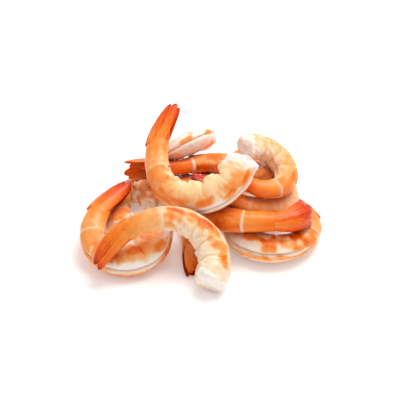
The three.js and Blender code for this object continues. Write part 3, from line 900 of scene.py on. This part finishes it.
@dataclass
class Meat:
    """The peeled meat of a shrimp: five segments, lobed at the belly, slit along the back, cut off at the head end.

    Sizes are in millimetres, and shares are of the half size. Half widths and edges are in segments from the cut end
    or in degrees from the back, and edges in height go from 0 at the back to 1 at the belly.
    """

    spine: Spine
    press: Press
    # Rings and corners of the skin, which are closer together at the slit.
    ring_gap: float = 0.45
    face_rings: int = 15
    slit_corners: int = 17
    slit_reach: float = 14.0
    round_corners: int = 72
    # The cut face as (distance out, share), and the end that is tucked and plugged into the shell.
    cut_face: tuple = ((0.0, 1.0), (0.7, 0.975), (1.5, 0.9), (2.2, 0.74), (2.45, 0.5), (2.3, 0.27), (1.7, 0.12))
    tuck_length: float = 0.9
    tuck_share: float = 0.06
    plug: tuple = ((0.5, 0.88), (1.0, 0.6))
    # The radius at which patterns are laid out.
    pattern_radius: float = 8.0
    # Seams between segments: depth at the back, the flank and the belly, how they lean, and how much of each is a
    # narrow furrow, with the rest a broad waist.
    seam_shares: tuple[float, float, float] = (0.015, 0.07, 0.3)
    seam_half: float = 0.07
    seam_lean: float = 0.12
    furrow_part: float = 0.55
    waist_power: float = 0.7
    belly_power: float = 1.5
    # Knobs at the belly, two a segment, and the groove between its two sides.
    knob_share: float = 0.02
    knob_edge: Edge = Edge(0.55, 0.85)
    groove_share: float = 0.16
    groove_half: float = 22.0
    # The slit that the vein was taken out by, and its raised lips.
    slit_share: float = 0.1
    slit_half: float = 4.5
    slit_opens: Edge = Edge(-0.05, 0.35)
    slit_closes: Edge = Edge(3.85, 4.55)
    lip_share: float = 0.02
    lip_at: float = 16.0
    lip_half: float = 9.0
    # Fine wrinkles round the body, so many a segment, which bend to and fro on their way round.
    wrinkle_share: float = 0.012
    wrinkles: float = 6.3
    wrinkle_bend: float = 0.8
    wrinkle_run: float = 19.0
    wrinkle_flank: Edge = Edge(15, 40)
    wrinkle_start: Edge = Edge(0.4, 0.9)
    # Unevenness of the skin, of the belly, of the torn rim and of the torn face of the cut end.
    swells: tuple[Waves, ...] = (Waves(0, 9, 0.02), Waves(50, 3.2, 0.007))
    belly_waves: Waves = Waves(60, 4.2, 0.06)
    belly_edge: Edge = Edge(0.6, 0.85)
    rim_waves: tuple[Waves, ...] = (Waves(90, 4.6, 0.07), Waves(95, 2.1, 0.035))
    rim_edge: Edge = Edge(-0.1, 0.6)
    face_waves: tuple[Waves, ...] = (Waves(70, 5, 0.5), Waves(75, 2, 0.25))
    face_edge: Edge = Edge(-0.25, 0.02)
    # Pigment: how edges wander, the pale strip along the slit, and where the tint sets in and fades at the belly.
    wander: Waves = Waves(110, 6, 1)
    margin_stray: float = 6.0
    strip_ends: Edge = Edge(3.2, 4.3, 0.3)
    tint_sets_in: Edge = Edge(-0.1, 0.6, 0.2)
    belly_fade: float = 0.4
    belly_fades: Edge = Edge(105, 150, 8)
    # Pale seams, with dark creases in them at the flank.
    pale_half: float = 0.045
    pale_part: float = 0.4
    pale_mean: float = 0.7
    pale_swing: float = 0.5
    crease: float = 0.4
    crease_half: float = 0.02
    crease_flank: Edge = Edge(45, 80)
    spot_edge: Edge = Edge(0.45, 1.45, 0.45)
    pigment_span: tuple[float, float] = (-0.2, 1.4)
    # White at the cut end and in spots without pigment.
    head_white: float = 0.85
    head_edge: Edge = Edge(-0.2, 0.35, 0.15)
    spot_white: float = 1.6
    # Cream at the belly and at the cut end.
    cream_run: float = 45.0
    cream_stray: float = 10.0
    cream_seam: float = 0.5
    cream_starts: Edge = Edge(0.3, 0.8)
    cream_ends: Edge = Edge(2.9, 4.1)
    head_cream_edge: Edge = Edge(0, 0.6)
    # The slit's tan stain, partly painted shade, wider than the slit itself, and the painted shade where something
    # touches.
    slit_stain_and_shade: float = 0.6
    stain_half: float = 5.85
    stain_starts: Edge = Edge(0.05, 0.25)
    stain_ends: Edge = Edge(4.25, 4.55)
    touch: float = 0.55

    def angles(self) -> np.ndarray:
        """Spreads the corners of a ring round the body.

        Returns:
            Their angles from the back, in radians.
        """
        at_slit = np.linspace(-self.slit_reach, self.slit_reach, self.slit_corners)
        round_it = np.linspace(self.slit_reach, 360 - self.slit_reach, self.round_corners)[1:-1]
        return np.radians(np.concatenate([at_slit, round_it]) + self.spine.shrimp.slit_at)

    def from_slit(self, signed: np.ndarray) -> np.ndarray:
        """Degrees round the body from the slit."""
        return np.abs((signed - self.spine.shrimp.slit_at + 180) % 360 - 180)

    def rings(self) -> tuple[np.ndarray, np.ndarray]:
        """Spreads the rings along the body.

        Returns:
            Their distances from the cut end, and their shares of full size.
        """
        size, meat = self.spine.shrimp.size, self.spine.meat
        face = np.array(self.cut_face)[::-1]
        knots, dense = np.linspace(0, 1, len(face)), np.linspace(0, 1, self.face_rings)
        out, share = (np.interp(dense, knots, column) for column in face.T)
        body = np.linspace(0, meat, round(meat / (self.ring_gap * size)))[1:]
        tuck = np.clip((body - (meat - self.tuck_length)) / self.tuck_length, 0, 1)
        plug = np.array(self.plug)
        return (np.concatenate([-out * size, body, meat + plug[:, 0]]),
                np.concatenate([share, 1 - self.tuck_share * tuck ** 2, plug[:, 1]]))

    def build(self, finish: bpy.types.Material) -> bpy.types.Object:
        """Builds and dresses the meat.

        Args:
            finish: The flesh.

        Returns:
            The piece.
        """
        shrimp, seed = self.spine.shrimp, self.spine.shrimp.seed
        s, share = self.rings()
        cuts = self.spine.sections(s)
        turn = np.tile(self.angles(), (len(s), 1))
        along = (s / self.spine.meat * SEGMENTS)[:, None] + 0 * turn
        signed = np.degrees((turn + math.pi) % (2 * math.pi) - math.pi)
        low = (1 - np.cos(turn)) / 2
        phase = along - self.seam_lean * np.sin(turn) ** 2
        straight = laid_out(s, self.pattern_radius * share[:, None], turn, seed)
        uneven = sum(waves.at(seed, straight) for waves in self.swells)
        uneven = uneven + self.belly_waves.at(seed, straight) * shrimp.lobes * self.belly_edge.over(low)
        torn = sum(waves.at(seed, straight) for waves in self.rim_waves)
        torn = torn * shrimp.ragged * (1 - self.rim_edge.over(along))
        radius = share[:, None] * (1 - self.relief(along, phase, signed, low) + uneven + torn)
        rows = cuts.rows(cuts.depth[:, None] * radius * np.cos(turn), cuts.width[:, None] * radius * np.sin(turn))
        face = sum(waves.at(seed, straight) for waves in self.face_waves)
        face = face * (1 - self.face_edge.over(along)) * shrimp.ragged
        rows = self.press.skin(rows + cuts.ahead[:, None] * face[..., None])
        skin = Skin()
        # The touch value lays painted shade where a neighbour or the floor is near.
        skin.ring_skin(rows, {"straight": straight * MM, "touch": self.touch * self.press.touch(rows),
                              **self.paint(along, phase, signed, straight)})
        return skin.piece(f"shrimp_{shrimp.name}_flesh", finish, f"shrimp_{shrimp.name}_meat")

    def relief(self, along: np.ndarray, phase: np.ndarray, signed: np.ndarray, low: np.ndarray) -> np.ndarray:
        """How far the skin is drawn in, as a share of the half size.

        Args:
            along: Segments from the cut end.
            phase: The same, leaning as the seams do.
            signed: Degrees from the back, positive towards the side.
            low: 0 at the back to 1 at the belly.

        Returns:
            The shares.
        """
        shrimp = self.spine.shrimp
        away, from_slit = np.abs(signed), self.from_slit(signed)
        back, flank, belly = self.seam_shares
        upper = back + (flank - back) * low * 2
        lower = flank + (belly * shrimp.lobes - flank) * np.clip(low * 2 - 1, 0, 1) ** self.belly_power
        depth = np.where(low < 0.5, upper, lower)
        furrow = bump(phase - np.clip(np.round(phase), 1, SEGMENTS - 1), self.seam_half)
        waist = 1 - np.abs(np.sin(math.pi * np.clip(phase, 0.5, SEGMENTS - 0.5))) ** self.waist_power
        seam = depth * (self.furrow_part * furrow + (1 - self.furrow_part) * waist)
        knob = (1 - np.abs(np.sin(2 * math.pi * phase)) ** self.waist_power) * self.knob_edge.over(low)
        knob = self.knob_share * shrimp.lobes * knob
        groove = self.groove_share * bump(180 - away, self.groove_half)
        is_open = self.slit_opens.over(along) * (1 - self.slit_closes.over(along))
        slit = self.slit_share * is_open * bump(from_slit, self.slit_half)
        lips = self.lip_share * is_open * bump(from_slit - self.lip_at, self.lip_half)
        sway = np.sin(away / self.wrinkle_run) * self.wrinkle_bend
        wrinkle = self.wrinkle_share * shrimp.wrinkles * np.sin(along * 2 * math.pi * self.wrinkles + sway)
        wrinkle = wrinkle * self.wrinkle_flank.over(away) * self.wrinkle_start.over(along)
        return seam + knob + groove + slit - lips + wrinkle

    def paint(self, along: np.ndarray, phase: np.ndarray, signed: np.ndarray,
              straight: np.ndarray) -> dict[str, np.ndarray]:
        """Where the flesh is orange, pale, creamy and stained at the slit, the stain partly painted shade.

        Args:
            along: Segments from the cut end.
            phase: The same, leaning as the seams do.
            signed: Degrees from the back, positive towards the side.
            straight: The places on the shrimp laid out straight, in millimetres.

        Returns:
            The values by name, each from 0 to 1 but for the pigment.
        """
        shrimp = self.spine.shrimp
        away, from_slit = np.abs(signed), self.from_slit(signed)
        wander = self.wander.at(shrimp.seed, straight)
        strip = 1 - Edge(*shrimp.margin, self.margin_stray).over(from_slit, wander)
        strip *= 1 - self.strip_ends.over(along, wander)
        head, tail = shrimp.tint
        pigment = (head + (tail - head) * along / SEGMENTS) * (1 - strip)
        pigment = pigment * self.tint_sets_in.over(along, wander)
        pigment = pigment * (1 - self.belly_fade * self.belly_fades.over(away, wander))
        off_seam = phase - np.clip(np.round(phase), 1, SEGMENTS - 1)
        seam = bump(off_seam, self.pale_half) * (self.pale_mean + self.pale_swing * wander)
        crease = bump(off_seam, self.crease_half) * self.crease_flank.over(away) * min(1, shrimp.lobes)
        pigment = pigment * (1 - self.pale_part * seam) + self.crease * crease
        extra = np.zeros_like(pigment)
        for spot in shrimp.spots:
            turn = (signed - spot.turn + 180) % 360 - 180
            far = np.hypot((along - spot.along) / spot.reach, turn / spot.spread)
            extra += spot.amount * (1 - self.spot_edge.over(far, wander))
        belly = Edge(shrimp.cream_from, shrimp.cream_from + self.cream_run, self.cream_stray).over(away, wander)
        belly = belly * (1 - self.cream_seam * seam) * self.cream_starts.over(along) * (1 - self.cream_ends.over(along))
        cream = shrimp.cream * belly + shrimp.head_cream * (1 - self.head_cream_edge.over(along))
        white = self.head_white * (1 - self.head_edge.over(along, wander)) - self.spot_white * extra
        slit_stain_and_shade = bump(from_slit, self.stain_half) * self.stain_starts.over(along) * (1 - self.stain_ends.over(along))
        return {
            "pigment": np.clip(pigment + extra, *self.pigment_span),
            "paleness": np.clip(white, 0, 1),
            "lobe": np.clip(cream, 0, 1),
            "slit": self.slit_stain_and_shade * np.clip(slit_stain_and_shade, 0, 1),
        }


@dataclass(frozen=True)
class Blade:
    """One blade of the tail fan.

    Attributes:
        length: Its length, in millimetres.
        half_width: Half its width, in millimetres.
        furled: Degrees round the gutter at which it lies when the fan is furled.
        open_root: Degrees at which its root points when the fan is spread.
        open_tip: Degrees at which its tip points when the fan is spread.
        layer: How far out it lies in the stack of blades, in millimetres.
        tone: Depth of its colour.
    """

    length: float
    half_width: float
    furled: float
    open_root: float
    open_tip: float
    layer: float
    tone: float


@dataclass
class Tail:
    """The last segment in its smooth shell, and the fan of five ribbed blades behind it.

    Sizes are in millimetres, shares are of the half size, and edges are in millimetres along the segment unless they
    say otherwise.
    """

    spine: Spine
    press: Press
    # The shell of the last segment, as (distance past the meat, share): inside the lip, over the lip, and then, as
    # (distance past the segment, share), round the rim over the roots of the blades. Between them it runs plain, from
    # so far past the meat to so far short of the segment's end, and tapers to a share.
    shell_inside: tuple = ((2.5, 0.5), (2.0, 0.86), (0.5, 0.93), (-0.75, 0.975))
    shell_lip: tuple = ((-0.9, 1.0), (-0.7, 1.03), (0.2, 1.02), (1.5, 1.0))
    shell_rear: tuple = ((-0.2, 0.95), (0.05, 0.94), (0.1, 0.88), (-0.3, 0.84), (1.2, 0.62), (2.4, 0.3))
    shell_run: tuple[float, float] = (2.5, 0.6)
    shell_taper: float = 0.95
    shell_rings: int = 30
    shell_corners: int = 56
    # The keel along its back, half as wide in radians, and its slight unevenness.
    keel_share: float = 0.045
    keel_half: float = 0.2
    keel_edge: Edge = Edge(1, 6)
    shell_waves: Waves = Waves(30, 7, 0.012)
    # Its colour: deeper towards the fan and at the back, with a pale front rim.
    shell_deepens: float = 0.22
    shell_edge: Edge = Edge(0.2, 1)
    back_deepens: float = 0.07
    rim_at: float = -0.2
    rim_edge: Edge = Edge(0.2, 1.6)
    # The gutter that furled blades wrap round: its radius, how it narrows, its height and width, and its radius when
    # the fan is spread.
    gutter_base: float = 4.6
    gutter_taper: tuple[float, float] = (0.15, 0.35)
    gutter_shape: tuple[float, float] = (1.32, 0.86)
    gutter_open: float = 14.0
    # The flesh at the roots of the blades, furled and spread.
    root_lengths: tuple[float, float] = (20.0, 9.0)
    root_share: float = 0.9
    root_rings: int = 12
    root_corners: int = 24
    root_tone: float = 0.6
    # How far before the end of the segment a blade starts, its outline as (share of its length, share of its width),
    # and the share of its length past which its end is round. Its rings are closer together past another share.
    blade_root: float = 3.5
    outline: tuple = ((0, 0.45), (0.3, 0.85), (0.55, 1), (0.75, 0.97))
    round_from: float = 0.7
    blade_rings: int = 26
    tip_from: float = 0.85
    tip_rings: int = 9
    tip_start: float = 0.15
    blade_corners: int = 30
    widest_wrap: float = 48.0
    # Its thickness, thinner at the edges and at the tip, with a midrib as (height, half width) and two side ribs as
    # (height, place, half width).
    thickness: float = 0.36
    edge_part: float = 0.35
    layer_part: float = 0.8
    tip_thins: float = 1.6
    midrib: tuple[float, float] = (0.35, 0.16)
    side_ribs: tuple[float, float, float] = (0.12, 0.55, 0.12)
    # Its colour: deeper along its length, at its edges and, in shares of its length, at the very tip.
    redness_gain: float = 0.4
    usual_redness: float = 0.5
    root_fades: float = 0.22
    blade_deepens: float = 0.56
    edge_deepens: float = 0.08
    edge_power: float = 6
    edge_starts: Edge = Edge(0, 0.4)
    tip_deepens: float = 0.22
    tip_edge: Edge = Edge(0.88, 1)
    # How ribbed the shell and the blades look, the painted shade where something touches, and the radii of the
    # patterns.
    shell_ribbed: float = 0.08
    blade_ribbed: float = 0.45
    touch: float = 0.7
    shell_pattern: float = 6.0
    root_pattern: float = 4.0
    blades: tuple[Blade, ...] = (
        Blade(21, 2.7, 0, 0, 0, 0.55, 0.36),
        Blade(26, 3.8, 50, 7, 30, 0.2, 0.52),
        Blade(26, 3.8, -50, -7, -30, 0.2, 0.52),
        Blade(27.8, 4.6, 112, 11, 56, -0.15, 0.4),
        Blade(27.8, 4.6, -112, -11, -56, -0.15, 0.4),
    )

    def build(self, finish: bpy.types.Material) -> bpy.types.Object:
        """Builds and dresses the tail.

        Args:
            finish: The shell.

        Returns:
            The piece.
        """
        skin = Skin()
        self.add_segment(skin)
        self.add_root(skin)
        for blade in self.blades:
            self.add_blade(skin, blade)
        name = self.spine.shrimp.name
        return skin.piece(f"shrimp_{name}_tail_shell", finish, f"shrimp_{name}_tail")

    def add_segment(self, skin: Skin) -> None:
        """Adds the shell of the last segment, with a lip over the meat and a rim over the fan's roots.

        Args:
            skin: The skin that it is added to.
        """
        spine, shrimp = self.spine, self.spine.shrimp
        start, left = self.shell_run
        run = np.linspace(start, spine.sixth - left, self.shell_rings)
        front, rear = np.array(self.shell_inside + self.shell_lip), np.array(self.shell_rear)
        past = np.concatenate([front[:, 0], run, spine.sixth + rear[:, 0]])
        share = np.concatenate([front[:, 1], np.interp(run, [0, spine.sixth], [1, self.shell_taper]), rear[:, 1]])
        cuts = spine.sections(spine.meat + past)
        lead = past < 0
        cuts.depth[lead] = TAIL_DEPTH[0][1] * spine.girth
        cuts.width[lead] = TAIL_WIDTH[0][1] * spine.girth
        turn = np.tile(np.linspace(0, 2 * math.pi, self.shell_corners, endpoint=False), (len(past), 1))
        signed = (turn + math.pi) % (2 * math.pi) - math.pi
        keel = self.keel_share * bump(signed, self.keel_half) * self.keel_edge.over(past)[:, None]
        straight = laid_out(past, self.shell_pattern, turn, shrimp.seed)
        radius = share[:, None] * (1 + keel + self.shell_waves.at(shrimp.seed, straight))
        rows = cuts.rows(cuts.depth[:, None] * radius * np.cos(turn), cuts.width[:, None] * radius * np.sin(turn))
        rows = self.press.skin(rows, TAIL_REACH)
        tone = shrimp.shell + self.shell_deepens * self.shell_edge.over(past / spine.sixth)[:, None]
        rim = (1 - self.rim_edge.over(np.abs(past - self.rim_at)))[:, None] + 0 * turn
        # The touch value lays painted shade where a neighbour or the floor is near.
        skin.ring_skin(rows, {"straight": straight * MM, "tone": tone + self.back_deepens * np.cos(turn),
                              "rim": rim * shrimp.ring, "ribbed": self.shell_ribbed,
                              "touch": self.touch * self.press.touch(rows)})

    def narrowed(self, part: np.ndarray) -> np.ndarray:
        """Radius of the gutter that furled blades wrap round, at shares of the way to their tips."""
        early, late = self.gutter_taper
        return self.gutter_base * self.spine.girth * (1 - early * part - late * part ** 3)

    def add_root(self, skin: Skin) -> None:
        """Adds the flesh at the roots of the blades.

        Args:
            skin: The skin that it is added to.
        """
        spine, shrimp = self.spine, self.spine.shrimp
        furled, spread = self.root_lengths
        length = (furled + (spread - furled) * shrimp.fan) * shrimp.size
        part = np.linspace(0, 1, self.root_rings)
        share = np.sqrt(np.clip(1 - part ** 2, 0.0025, 1)) * self.root_share
        cuts = spine.sections(spine.meat + spine.sixth - self.blade_root * shrimp.size + part * length)
        narrow = (self.narrowed(part) * share)[:, None]
        turn = np.tile(np.linspace(0, 2 * math.pi, self.root_corners, endpoint=False), (len(part), 1))
        high, wide = self.gutter_shape
        rows = cuts.rows(high * narrow * np.cos(turn), wide * narrow * np.sin(turn))
        straight = laid_out(part * length, self.root_pattern, turn)
        skin.ring_skin(self.press.skin(rows, TAIL_REACH),
                       {"straight": straight * MM, "tone": self.root_tone, "rim": 0.0, "ribbed": 0.0, "touch": 0.0})

    def add_blade(self, skin: Skin, blade: Blade) -> None:
        """Adds a blade: a thin leaf with a ridge down its middle, wrapped round the gutter or spread out flat.

        Args:
            skin: The skin that it is added to.
            blade: The blade.
        """
        spine, shrimp = self.spine, self.spine.shrimp
        size, opened = shrimp.size, shrimp.fan
        to_tip = np.sin(np.linspace(self.tip_start, math.pi / 2, self.tip_rings))
        part = np.concatenate([np.linspace(0, self.tip_from, self.blade_rings),
                               self.tip_from + (1 - self.tip_from) * to_tip])
        end = ((part - self.round_from) / (1 - self.round_from)).clip(0)
        tip = np.sqrt(np.clip(1 - end ** 2, 0.002, 1))
        width = profile(self.outline, part) * tip
        half = blade.half_width * size * width
        round_it = np.linspace(0, 2 * math.pi, self.blade_corners, endpoint=False)
        across, upper = np.cos(round_it), np.sin(round_it)
        shortened = 1 - opened * (1 - math.cos(math.radians(blade.open_tip)))
        start = spine.meat + spine.sixth - self.blade_root * size
        cuts = spine.sections(start + part * blade.length * size * shortened)
        narrow = self.narrowed(part)
        layer = (blade.layer + self.leaf(across, upper, tip)) * size
        wrap = np.minimum(half / narrow, math.radians(self.widest_wrap) * width)
        furled = math.radians(blade.furled) + wrap[:, None] * across
        wide = self.gutter_open * size
        spread = np.radians(blade.open_root + (blade.open_tip - blade.open_root) * part)
        spread = spread[:, None] + half[:, None] / wide * across
        high, broad = self.gutter_shape
        tight, open_out = narrow[:, None] + layer, wide + layer
        up = high * tight * np.cos(furled)
        up = up + (open_out * np.cos(spread) - (wide - narrow)[:, None] - up) * opened
        over = broad * tight * np.sin(furled)
        over = over + (open_out * np.sin(spread) - over) * opened
        rows = self.press.skin(cuts.rows(up, over), TAIL_REACH)
        straight = np.stack([part[:, None] * blade.length * size + 0 * up, half[:, None] * across + blade.furled,
                             0 * up + shrimp.seed], -1)
        edge = np.abs(across)[None] ** self.edge_power * self.edge_starts.over(part)[:, None]
        tone = blade.tone + self.redness_gain * (shrimp.redness - self.usual_redness) - self.root_fades
        deeper = self.blade_deepens * part + self.tip_deepens * self.tip_edge.over(part)
        # The touch value lays painted shade where a neighbour or the floor is near.
        skin.ring_skin(rows, {"straight": straight * MM, "tone": tone + deeper[:, None] + self.edge_deepens * edge,
                              "rim": 0.0, "ribbed": self.blade_ribbed, "touch": self.touch * self.press.touch(rows)})

    def leaf(self, across: np.ndarray, upper: np.ndarray, tip: np.ndarray) -> np.ndarray:
        """Cross-sections of a blade.

        Args:
            across: Place of each corner across the blade, from -1 to 1.
            upper: 1 on the blade's upper face, -1 on its lower one, and between at its edges.
            tip: How wide the rounding of the end leaves each ring.

        Returns:
            How far each corner lies off the blade's middle layer, in millimetres.
        """
        high, half = self.midrib
        side_high, side_at, side_half = self.side_ribs
        ribs = high * bump(across, half) + side_high * bump(np.abs(across) - side_at, side_half)
        thick = self.thickness * (self.edge_part + (1 - self.edge_part) * np.abs(upper)) * np.sign(upper)
        thin = np.minimum(1, tip * self.tip_thins)
        return (thick + ribs * (upper > 0))[None] * thin[:, None] * self.layer_part


@dataclass(frozen=True)
class Studio:
    """A pale floor, a white room, one broad soft light and the camera.

    Lengths are in metres, angles in degrees and lights as the renderer counts them.
    """

    look_at: tuple[float, float, float] = (-0.0013, -0.008, 0.0195)
    elevation: float = 35.0
    distance: float = 0.65
    frame_width: float = 0.22
    sensor: float = 36.0
    floor_size: float = 6.0
    room_colour: str = "#FFFFFF"
    room_light: float = 0.64
    key_light: float = 3.65
    key_size: float = 0.45
    key_at: tuple[float, float, float] = (0.18, 0.22, 0.62)

    def floor(self) -> bpy.types.Object:
        """Makes the floor.

        Returns:
            The floor.
        """
        half = self.floor_size / 2
        mesh = bpy.data.meshes.new("floor")
        mesh.from_pydata([(-half, -half, 0), (half, -half, 0), (half, half, 0), (-half, half, 0)], [], [(0, 1, 2, 3)])
        mesh.materials.append(WhitePaper().make())
        made = bpy.data.objects.new("floor", mesh)
        bpy.context.scene.collection.objects.link(made)
        return made

    def light(self) -> None:
        """Lights the room evenly, with a broad soft light above and behind on the right."""
        scene = bpy.context.scene
        world = bpy.data.worlds.new("white_room")
        world.use_nodes = True
        scene.world = world
        backdrop = world.node_tree.nodes["Background"]
        backdrop.inputs["Color"].default_value = linear(self.room_colour)
        backdrop.inputs["Strength"].default_value = self.room_light
        lamp = bpy.data.lights.new("softbox", "AREA")
        lamp.shape, lamp.size, lamp.energy = "SQUARE", self.key_size, self.key_light
        made = bpy.data.objects.new("softbox", lamp)
        made.location = self.key_at
        made.rotation_mode = "QUATERNION"
        made.rotation_quaternion = (made.location - type(made.location)(self.look_at)).to_track_quat("Z", "Y")
        scene.collection.objects.link(made)
        scene.view_settings.view_transform = "Standard"

    def camera(self) -> None:
        """Places the camera at the front, looking down on the heap."""
        scene = bpy.context.scene
        lens = bpy.data.cameras.new("camera")
        lens.sensor_width = self.sensor
        lens.lens = self.sensor * self.distance / self.frame_width
        made = bpy.data.objects.new("camera", lens)
        tilt = math.radians(self.elevation)
        x, y, z = self.look_at
        made.location = (x, y - self.distance * math.cos(tilt), z + self.distance * math.sin(tilt))
        made.rotation_euler = (math.pi / 2 - tilt, 0, 0)
        scene.collection.objects.link(made)
        scene.camera = made


def main() -> None:
    """Builds the heap, one shrimp after another, and its studio."""
    logging.basicConfig(level=logging.INFO, format="%(name)s: %(message)s")
    flesh, shell = CookedFlesh().make(), CookedShell().make()
    spines = [Spine(shrimp) for shrimp in HEAP]
    bodies = [Body(spine) for spine in spines]
    for spine, body in zip(spines, bodies):
        press = Press(body, [other for other in bodies if other is not body])
        for made in (Meat(spine, press).build(flesh), Tail(spine, press).build(shell)):
            log.info("%s: %d faces", made.name, len(made.data.polygons))
    studio = Studio()
    studio.floor()
    studio.light()
    studio.camera()


if __name__ == "__main__":
    main()
